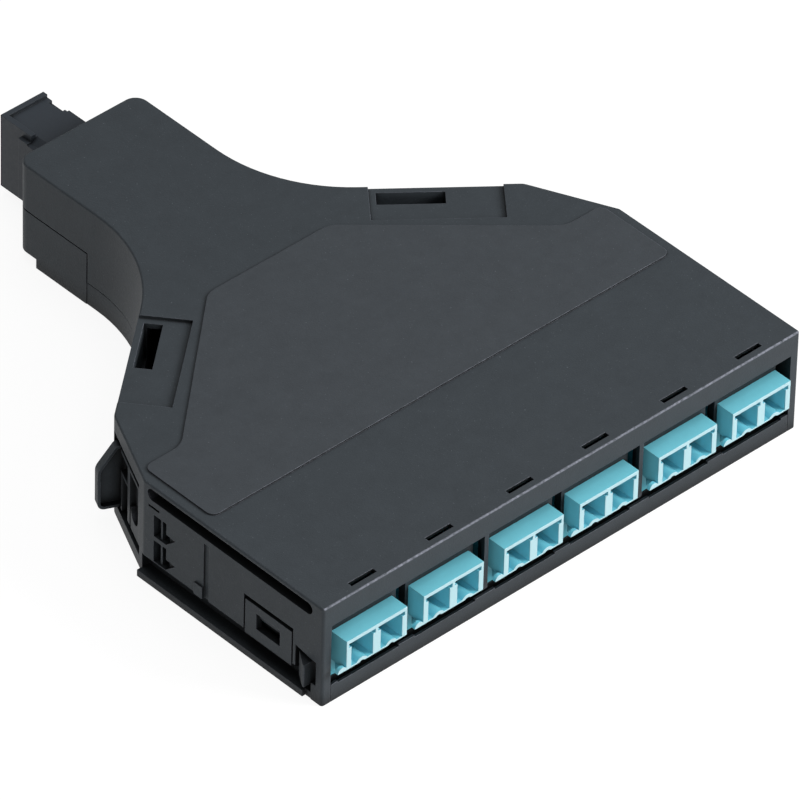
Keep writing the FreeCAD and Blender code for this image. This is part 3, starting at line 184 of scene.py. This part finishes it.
@dataclass(frozen=True)
class MouldedPlastic:
    """A moulded plastic: the mould's grain, painted glints, softened edges, pale edges that are partly rubbed
    wear and partly painted highlight, and painted shade in crevices.

    Sizes are in millimetres. The grain gives the surface its fine sparkle. The pale lines on the edges are
    partly the wear that handling leaves on a dark moulding and partly a painted highlight where light catches
    the rounded edges. Real grain is about 0.1 mm or finer and a pixel of the photograph is 0.16 mm wide, so
    on every plastic here it is drawn several times coarser.
    """

    name: str
    colour: str
    roughness: float
    # Pale edges: partly rubbed wear and partly a painted highlight on the rounded edges.
    edge_colour: str
    edge_wear_and_highlight: float = 0.6
    edge_radius: float = 0.12
    grain: Pattern = Pattern(size=0.35)
    grain_depth: float = 0.02
    # Painted glints: the pale colour of grain tips that catch the light, and how many there are.
    glint_colour: str = "#6A6F74"
    glint_share: float = 0.0
    mottle: float = 0.12
    # Painted shade in crevices: how far it looks for cover, and how dark it gets.
    crevice_reach: float = 2.5
    crevice_shade: float = 0.35
    # Painted highlight on edges that lean towards the front lamp.
    front_edge_highlight: float = 0.0
    specular: float = 0.5
    ior: float = 1.5
    raised: Fade | None = None
    # Painted shade that darkens a part towards its deep end.
    depth: Fade | None = None
    # Painted highlight that pales the front face.
    front: Fade | None = None

    def build(self) -> bpy.types.Material:
        """Build the node material.

        Returns:
            The finished material.
        """
        material, tree, shader = new_material(self.name)
        place = add_node(tree, "ShaderNodeTexCoord").outputs["Object"]
        colour = self._body_colour(tree, place)
        for fade in (self.depth, self.front):
            if fade is not None:
                colour = fade.over(tree, place, colour)
        rounded = add_node(tree, "ShaderNodeBevel", {"samples": BEVEL_SAMPLES}, {
            "Radius": self.edge_radius * MM})
        colour = self._rub_and_highlight_edges(tree, place, colour, rounded.outputs["Normal"])
        colour = self._shade_crevices(tree, colour)
        grain = add_node(tree, "ShaderNodeTexNoise", inputs={
            "Vector": place, "Scale": self.grain.scale, "Detail": self.grain.detail,
            "Roughness": self.grain.roughness})
        bump = add_node(tree, "ShaderNodeBump", inputs={
            "Strength": 1.0, "Distance": self.grain_depth * MM, "Height": grain.outputs["Fac"],
            "Normal": rounded.outputs["Normal"]})
        rough = add_node(tree, "ShaderNodeMapRange", inputs={
            "Value": grain.outputs["Fac"], "From Min": self.grain.low, "From Max": self.grain.high,
            "To Min": self.roughness - GRAIN_GLOSS, "To Max": self.roughness + GRAIN_GLOSS})
        tree.links.new(colour, shader.inputs["Base Color"])
        tree.links.new(rough.outputs["Result"], shader.inputs["Roughness"])
        tree.links.new(bump.outputs["Normal"], shader.inputs["Normal"])
        shader.inputs["IOR"].default_value = self.ior
        shader.inputs["Specular IOR Level"].default_value = self.specular
        return material

    def _body_colour(self, tree: bpy.types.NodeTree, place: bpy.types.NodeSocket) -> bpy.types.NodeSocket:
        """Base colour with broad mottling and painted glints, pale specks where grain tips catch the light.

        Args:
            tree: the material's tree.
            place: Object coordinates.

        Returns:
            The colour socket.
        """
        plain = linear(self.colour)[:3]
        if self.raised is not None:
            plain = self.raised.over(tree, place, linear(self.colour))
        broad = add_node(tree, "ShaderNodeTexNoise", inputs={
            "Vector": place, "Scale": MOTTLE.scale, "Detail": MOTTLE.detail, "Roughness": MOTTLE.roughness})
        shade = add_node(tree, "ShaderNodeMapRange", inputs={
            "Value": broad.outputs["Fac"], "From Min": MOTTLE.low, "From Max": MOTTLE.high,
            "To Min": 1.0 - self.mottle, "To Max": 1.0 + self.mottle})
        tinted = add_node(tree, "ShaderNodeVectorMath", {"operation": "SCALE"}, {
            0: plain, "Scale": shade.outputs["Result"]})
        if self.glint_share <= 0:
            return tinted.outputs["Vector"]
        # Painted glints where grain tips catch the light.
        glints = add_node(tree, "ShaderNodeTexNoise", inputs={
            "Vector": place, "Scale": GLINT_SPECKS.scale, "Detail": GLINT_SPECKS.detail, "Roughness": GLINT_SPECKS.roughness})
        mask = add_node(tree, "ShaderNodeMapRange", inputs={
            "Value": glints.outputs["Fac"], "From Min": GLINT_SPECKS.low - self.glint_share,
            "From Max": GLINT_SPECKS.high})
        mixed = add_node(tree, "ShaderNodeMix", {"data_type": "RGBA"}, {
            "Factor": mask.outputs["Result"], MIX_FIRST: tinted.outputs["Vector"],
            MIX_SECOND: linear(self.glint_colour)})
        return mixed.outputs[MIX_RESULT]

    def _rub_and_highlight_edges(self, tree: bpy.types.NodeTree, place: bpy.types.NodeSocket, colour: bpy.types.NodeSocket,
                   rounded: bpy.types.NodeSocket) -> bpy.types.NodeSocket:
        """Paler colour where the softened normal leaves the flat one: partly rubbed wear and partly a painted
        highlight on the rounded edges, and all painted highlight where an edge leans towards the front.

        Args:
            tree: the material's tree.
            place: Object coordinates.
            colour: the colour so far.
            rounded: the normal of the softened edge.

        Returns:
            The colour socket.
        """
        flat = add_node(tree, "ShaderNodeNewGeometry")
        likeness = add_node(tree, "ShaderNodeVectorMath", {"operation": "DOT_PRODUCT"}, {
            0: rounded, 1: flat.outputs["True Normal"]})
        edge = add_node(tree, "ShaderNodeMapRange", inputs={
            "Value": likeness.outputs["Value"], "From Min": RUB_AND_HIGHLIGHT_BEGINS, "From Max": RUB_AND_HIGHLIGHT_FULL,
            "To Min": 0.0, "To Max": self.edge_wear_and_highlight})
        patches = add_node(tree, "ShaderNodeTexNoise", inputs={
            "Vector": place, "Scale": RUB_AND_HIGHLIGHT_PATCHES.scale, "Detail": RUB_AND_HIGHLIGHT_PATCHES.detail,
            "Roughness": RUB_AND_HIGHLIGHT_PATCHES.roughness})
        broken = add_node(tree, "ShaderNodeMapRange", inputs={
            "Value": patches.outputs["Fac"], "From Min": RUB_AND_HIGHLIGHT_PATCHES.low, "From Max": RUB_AND_HIGHLIGHT_PATCHES.high})
        # Painted highlight on edges that lean towards the front lamp.
        leaning = add_node(tree, "ShaderNodeVectorMath", {"operation": "DOT_PRODUCT"}, {
            0: rounded, 1: FRONT_EDGE_FACING})
        front = add_node(tree, "ShaderNodeMapRange", inputs={
            "Value": leaning.outputs["Value"], "From Min": FRONT_EDGE_BEGINS, "From Max": FRONT_EDGE_FULL,
            "To Min": 0.0, "To Max": self.front_edge_highlight})
        wear_and_highlight = add_node(tree, "ShaderNodeMath", {"operation": "MAXIMUM"}, {
            0: edge.outputs["Result"], 1: front.outputs["Result"]})
        mask = add_node(tree, "ShaderNodeMath", {"operation": "MULTIPLY"}, {
            0: wear_and_highlight.outputs["Value"], 1: broken.outputs["Result"]})
        mixed = add_node(tree, "ShaderNodeMix", {"data_type": "RGBA"}, {
            "Factor": mask.outputs["Value"], MIX_FIRST: colour, MIX_SECOND: linear(self.edge_colour)})
        return mixed.outputs[MIX_RESULT]

    def _shade_crevices(self, tree: bpy.types.NodeTree, colour: bpy.types.NodeSocket) -> bpy.types.NodeSocket:
        """Painted shade: darker colour in slots and inner corners, where little light gets in.

        Args:
            tree: the material's tree.
            colour: the colour so far.

        Returns:
            The colour socket.
        """
        hollow = add_node(tree, "ShaderNodeAmbientOcclusion", {"samples": CREVICE_SAMPLES}, {
            "Distance": self.crevice_reach * MM})
        light = add_node(tree, "ShaderNodeMapRange", inputs={
            "Value": hollow.outputs["AO"], "From Min": CREVICE_DARKEST, "From Max": CREVICE_OPEN,
            "To Min": self.crevice_shade, "To Max": 1.0})
        shaded = add_node(tree, "ShaderNodeVectorMath", {"operation": "SCALE"}, {
            0: colour, "Scale": light.outputs["Result"]})
        return shaded.outputs["Vector"]


@dataclass(frozen=True)
class FiredCeramic:
    """Zirconia, fired and polished: nearly white, very smooth and bright, with a faint warm depth.

    The haze is what the polish leaves. The real one is too fine to show, so it is drawn 0.4 mm wide, which is
    two and a half pixels of the photograph.
    """

    name: str = "polished zirconia"
    colour: str = "#F1EFE6"
    roughness: float = 0.12
    smoother: float = 0.04
    rougher: float = 0.06
    haze: Pattern = Pattern(size=0.4, detail=2.0, roughness=0.5, low=0.0, high=1.0)
    ior: float = 2.1

    def build(self) -> bpy.types.Material:
        """Build the node material.

        Returns:
            The finished material.
        """
        material, tree, shader = new_material(self.name)
        place = add_node(tree, "ShaderNodeTexCoord").outputs["Object"]
        haze = add_node(tree, "ShaderNodeTexNoise", inputs={
            "Vector": place, "Scale": self.haze.scale, "Detail": self.haze.detail,
            "Roughness": self.haze.roughness})
        rough = add_node(tree, "ShaderNodeMapRange", inputs={
            "Value": haze.outputs["Fac"], "From Min": self.haze.low, "From Max": self.haze.high,
            "To Min": self.roughness - self.smoother, "To Max": self.roughness + self.rougher})
        tree.links.new(rough.outputs["Result"], shader.inputs["Roughness"])
        shader.inputs["Base Color"].default_value = linear(self.colour)
        shader.inputs["IOR"].default_value = self.ior
        return material


@dataclass(frozen=True)
class GroundSteel:
    """Stainless guide pins, centreless ground: fine rings round the pin stretch the highlight.

    The wave turns by one radian in ring_radian millimetres, which puts the rings 0.31 mm apart. Real
    grinding marks are about 0.01 mm apart, too fine to show.
    """

    name: str = "ground stainless steel"
    colour: str = "#C4C6C8"
    roughness: float = 0.22
    smoother: float = 0.06
    rougher: float = 0.08
    ring_radian: float = 0.05
    ring_distortion: float = 1.0

    def build(self) -> bpy.types.Material:
        """Build the node material.

        Returns:
            The finished material.
        """
        material, tree, shader = new_material(self.name)
        place = add_node(tree, "ShaderNodeTexCoord").outputs["Object"]
        rings = add_node(tree, "ShaderNodeTexWave", {"bands_direction": "Y"}, {
            "Vector": place, "Scale": 1.0 / (self.ring_radian * MM * WAVE_RADIANS),
            "Distortion": self.ring_distortion})
        rough = add_node(tree, "ShaderNodeMapRange", inputs={
            "Value": rings.outputs["Fac"], "To Min": self.roughness - self.smoother,
            "To Max": self.roughness + self.rougher})
        tree.links.new(rough.outputs["Result"], shader.inputs["Roughness"])
        shader.inputs["Base Color"].default_value = linear(self.colour)
        shader.inputs["Metallic"].default_value = 1.0
        return material


Finish = MouldedPlastic | FiredCeramic | GroundSteel

# Injection moulded in a spark-eroded mould: a dull, evenly grained charcoal with pale rims that are partly
# rubbed wear and partly painted highlight, and painted shade in the slots. The grain is drawn at 0.32 mm, two
# pixels of the photograph. The raised panel on top looks a shade lighter.
HOUSING_ABS = MouldedPlastic(
    name="grained charcoal abs", colour="#3D4348", roughness=0.56, edge_colour="#B0B3C3", edge_wear_and_highlight=0.3,
    edge_radius=0.17, grain=Pattern(size=0.32), grain_depth=0.045, glint_colour="#686E74", glint_share=0.005,
    mottle=0.10, crevice_reach=5.0, crevice_shade=0.06, front_edge_highlight=0.5, specular=0.25,
    raised=Fade(Axis.UPWARD, "#43484D", 20.05, 20.25))
# Injection moulded in a plain steel mould: darker, smoother and more even than the housing.
CONNECTOR_PBT = MouldedPlastic(
    name="moulded dark pbt", colour="#393F46", roughness=0.5, edge_colour="#5C6268", edge_wear_and_highlight=0.5,
    edge_radius=0.10, grain=Pattern(size=0.5), grain_depth=0.01, mottle=0.05, crevice_shade=0.2,
    front_edge_highlight=0.2, specular=0.3)
# Injection moulded in a polished mould: a soft sheen with pale crisp edges, partly a painted highlight. The
# front face round each port is painted paler as a highlight, and its deep end, which light hardly reaches, is
# painted a dark teal as shade.
ADAPTER_PBT = MouldedPlastic(
    name="moulded aqua pbt", colour="#7DD8EA", roughness=0.38, edge_colour="#B4E4F0", edge_wear_and_highlight=0.7,
    edge_radius=0.12, grain=Pattern(size=0.8), grain_depth=0.006, mottle=0.04, crevice_reach=4.0,
    crevice_shade=0.95, front=Fade(Axis.INWARD, "#C8F0F8", -1.70, -1.79),
    depth=Fade(Axis.INWARD, "#0D6A79", 0.4, 6.0))
# Injection moulded and left as it is: a light grey with a slight sheen.
PLUG_PEI = MouldedPlastic(
    name="moulded grey pei", colour="#C9CDCD", roughness=0.4, edge_colour="#F2F4F4", edge_wear_and_highlight=0.3,
    mottle=0.03)
# Cast into a form and cured: a dull black with softened edges.
FANOUT_EPOXY = MouldedPlastic(
    name="cast black epoxy", colour="#1A1C1E", roughness=0.5, edge_colour="#4A4E52", edge_wear_and_highlight=0.3)
# Moulded and then polished with the fibres in it: a nearly smooth, glossy black.
FERRULE_PPS = MouldedPlastic(
    name="polished black pps", colour="#232628", roughness=0.2, edge_colour="#4C5052", edge_wear_and_highlight=0.2,
    grain_depth=0.002)
# Moulded in a matt mould from a rubbery plastic: a soft white without gloss.
BOOT_TPE = MouldedPlastic(
    name="moulded white tpe", colour="#DDE0E0", roughness=0.62, edge_colour="#FFFFFF", edge_wear_and_highlight=0.2)
# Extruded round the fibre: smooth, with the slight shine of a fresh jacket.
JACKET_PVC = MouldedPlastic(
    name="extruded aqua pvc", colour="#35B0C2", roughness=0.34, edge_colour="#7AD2DE", edge_wear_and_highlight=0.1,
    grain=Pattern(size=0.6), grain_depth=0.004)


@dataclass
class SubAssembly:
    """Nodes of the cassette that belong together, each with its finish."""

    name: str
    finishes: dict[str, Finish] = field(default_factory=dict)

    def dress(self, built: dict[str, bpy.types.Material]) -> int:
        """Give each node its finish.

        Args:
            built: finished materials by name, filled as they are needed.

        Returns:
            How many nodes were dressed.
        """
        for node, finish in self.finishes.items():
            if finish.name not in built:
                built[finish.name] = finish.build()
            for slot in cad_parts[node].material_slots:
                slot.material = built[finish.name]
            LOG.info("%s: %s in %s", self.name, node, finish.name)
        return len(self.finishes)


@dataclass
class HousingShells(SubAssembly):
    """The two housing mouldings and the latches, which are the same plastic."""

    name: str = "housing"
    finishes: dict[str, Finish] = field(default_factory=lambda: {
        node: HOUSING_ABS for node in ("top_cover", "base_tray", "side_latch_left", "side_latch_right")})


@dataclass
class FrontPorts(SubAssembly):
    """The duplex adapters and the sleeves in them."""

    name: str = "front ports"
    finishes: dict[str, Finish] = field(default_factory=lambda: {
        node: ADAPTER_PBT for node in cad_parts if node.startswith("lc_adapter_")
    } | {"alignment_sleeves": FiredCeramic()})


@dataclass
class RearPort(SubAssembly):
    """The MPO adapter and the plug inside it."""

    name: str = "rear port"
    finishes: dict[str, Finish] = field(default_factory=lambda: {
        "mpo_adapter": CONNECTOR_PBT, "mpo_plug": CONNECTOR_PBT,
        "mpo_ferrule": FERRULE_PPS, "guide_pins": GroundSteel()})


@dataclass
class InnerLoom(SubAssembly):
    """The fibres and what ends them."""

    name: str = "inner loom"
    finishes: dict[str, Finish] = field(default_factory=lambda: {
        "inner_ferrules": FiredCeramic(), "inner_plugs": PLUG_PEI, "inner_boots": BOOT_TPE,
        "inner_fibres": JACKET_PVC, "fibre_ribbon": JACKET_PVC, "fanout_block": FANOUT_EPOXY})


@dataclass(frozen=True)
class Lamp:
    """A soft square lamp. Lengths are in metres and power in watts."""

    name: str
    place: tuple[float, float, float]
    size: float
    power: float

    def build(self, target: tuple[float, float, float]) -> None:
        """Hang the lamp so that it faces the cassette.

        Args:
            target: the point that it faces.
        """
        data = bpy.data.lights.new(self.name, "AREA")
        data.size = self.size
        data.energy = self.power
        lamp = bpy.data.objects.new(self.name, data)
        lamp.location = self.place
        aim = Vector(target) - Vector(self.place)
        lamp.rotation_euler = aim.to_track_quat("-Z", "Y").to_euler()
        bpy.context.scene.collection.objects.link(lamp)


@dataclass
class Studio:
    """White table, soft lamps and the camera at the photograph's angle.

    Angles are in degrees and lengths in metres. The world's light is weak, and white only to the camera.
    """

    azimuth: float = -43.852
    elevation: float = 39.676
    roll: float = 1.574
    focal_pixels: float = 11454.5
    image_width: float = 800.0
    sensor: float = 36.0
    distance: float = 1.84377
    target: tuple[float, float, float] = (-0.002, 0.045, 0.010)
    offset: tuple[float, float] = (0.006046, -0.002161)
    clip_end: float = 20.0
    floor_size: float = 6.0
    floor_gap: float = 0.00005
    floor_colour: str = "#747474"
    floor_roughness: float = 0.9
    floor_lift: float = 0.90
    world_light: float = 0.24
    world_seen: float = 1.0
    lamps: tuple[Lamp, ...] = (
        Lamp("front lamp", (0.42, -0.48, 0.4), 0.36, 4.9),
        Lamp("top lamp", (0.1, 0.1, 1.1), 0.8, 3.0),
        Lamp("left lamp", (-0.27, -0.33, 0.14), 0.2, 0.46))

    def camera(self) -> None:
        """Place the camera, turned about its axis and shifted as the photograph's was."""
        azimuth, elevation, roll = (
            math.radians(value) for value in (self.azimuth, self.elevation, self.roll))
        back = Vector((math.sin(azimuth) * math.cos(elevation), -math.cos(azimuth) * math.cos(elevation),
                       math.sin(elevation)))
        level = Vector((math.cos(azimuth), math.sin(azimuth), 0.0))
        upright = back.cross(level)
        right = level * math.cos(roll) + upright * math.sin(roll)
        up = upright * math.cos(roll) - level * math.sin(roll)
        place = Vector(self.target) + right * self.offset[0] + up * self.offset[1] + back * self.distance
        data = bpy.data.cameras.new("camera")
        data.sensor_width = self.sensor
        data.lens = self.sensor * self.focal_pixels / self.image_width
        data.clip_end = self.clip_end
        camera = bpy.data.objects.new("camera", data)
        turn = Matrix((right, up, back)).transposed()
        camera.matrix_world = Matrix.Translation(place) @ turn.to_4x4()
        bpy.context.scene.collection.objects.link(camera)
        bpy.context.scene.camera = camera

    def floor(self) -> None:
        """Lay the white table, which keeps the cassette's shadow."""
        mesh = bmesh.new()
        bmesh.ops.create_grid(mesh, x_segments=1, y_segments=1, size=self.floor_size / 2,
                              matrix=Matrix.Translation((0.0, 0.0, -self.floor_gap)))
        data = bpy.data.meshes.new("table")
        mesh.to_mesh(data)
        mesh.free()
        table = bpy.data.objects.new("table", data)
        bpy.context.scene.collection.objects.link(table)
        data.materials.append(self._table_material())

    def _table_material(self) -> bpy.types.Material:
        """Matt white card, clean white to the camera and in reflections outside the shadow.

        It is clear from below, so that the underside can be looked at.

        Returns:
            The finished material.
        """
        material, tree, shader = new_material("white card")
        shader.inputs["Base Color"].default_value = linear(self.floor_colour)
        shader.inputs["Roughness"].default_value = self.floor_roughness
        shader.inputs["Specular IOR Level"].default_value = 0.0
        path = add_node(tree, "ShaderNodeLightPath")
        seen = add_node(tree, "ShaderNodeMath", {"operation": "MAXIMUM"}, {
            0: path.outputs["Is Camera Ray"], 1: path.outputs["Is Glossy Ray"]})
        lift = add_node(tree, "ShaderNodeMath", {"operation": "MULTIPLY"}, {
            0: seen.outputs["Value"], 1: self.floor_lift})
        glow = add_node(tree, "ShaderNodeEmission", inputs={
            "Color": WHITE, "Strength": lift.outputs["Value"]})
        both = add_node(tree, "ShaderNodeAddShader", inputs={
            0: shader.outputs["BSDF"], 1: glow.outputs["Emission"]})
        side = add_node(tree, "ShaderNodeNewGeometry")
        clear = add_node(tree, "ShaderNodeBsdfTransparent")
        one_sided = add_node(tree, "ShaderNodeMixShader", inputs={
            0: side.outputs["Backfacing"], 1: both.outputs["Shader"], 2: clear.outputs["BSDF"]})
        output = next(node for node in tree.nodes if node.type == "OUTPUT_MATERIAL")
        tree.links.new(one_sided.outputs["Shader"], output.inputs["Surface"])
        return material

    def world(self) -> None:
        """Even grey surround, seen as white by the camera."""
        world = bpy.data.worlds.new("studio")
        world.use_nodes = True
        tree = world.node_tree
        tree.nodes.clear()
        path = add_node(tree, "ShaderNodeLightPath")
        strength = add_node(tree, "ShaderNodeMapRange", inputs={
            "Value": path.outputs["Is Camera Ray"], "To Min": self.world_light, "To Max": self.world_seen})
        ground = add_node(tree, "ShaderNodeBackground", inputs={
            "Color": WHITE, "Strength": strength.outputs["Result"]})
        add_node(tree, "ShaderNodeOutputWorld", inputs={"Surface": ground.outputs["Background"]})
        bpy.context.scene.world = world

    def build(self) -> None:
        """Set the whole studio up."""
        bpy.context.scene.view_settings.view_transform = "Standard"
        self.camera()
        self.floor()
        self.world()
        for lamp in self.lamps:
            lamp.build(self.target)


def main() -> None:
    """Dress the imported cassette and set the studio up."""
    logging.basicConfig(level=logging.INFO, format="%(name)s: %(message)s")
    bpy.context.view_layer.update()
    built: dict[str, bpy.types.Material] = {}
    for assembly in (HousingShells(), FrontPorts(), RearPort(), InnerLoom()):
        LOG.info("%s: %d nodes", assembly.name, assembly.dress(built))
    Studio().build()


if __name__ == "__main__":
    main()
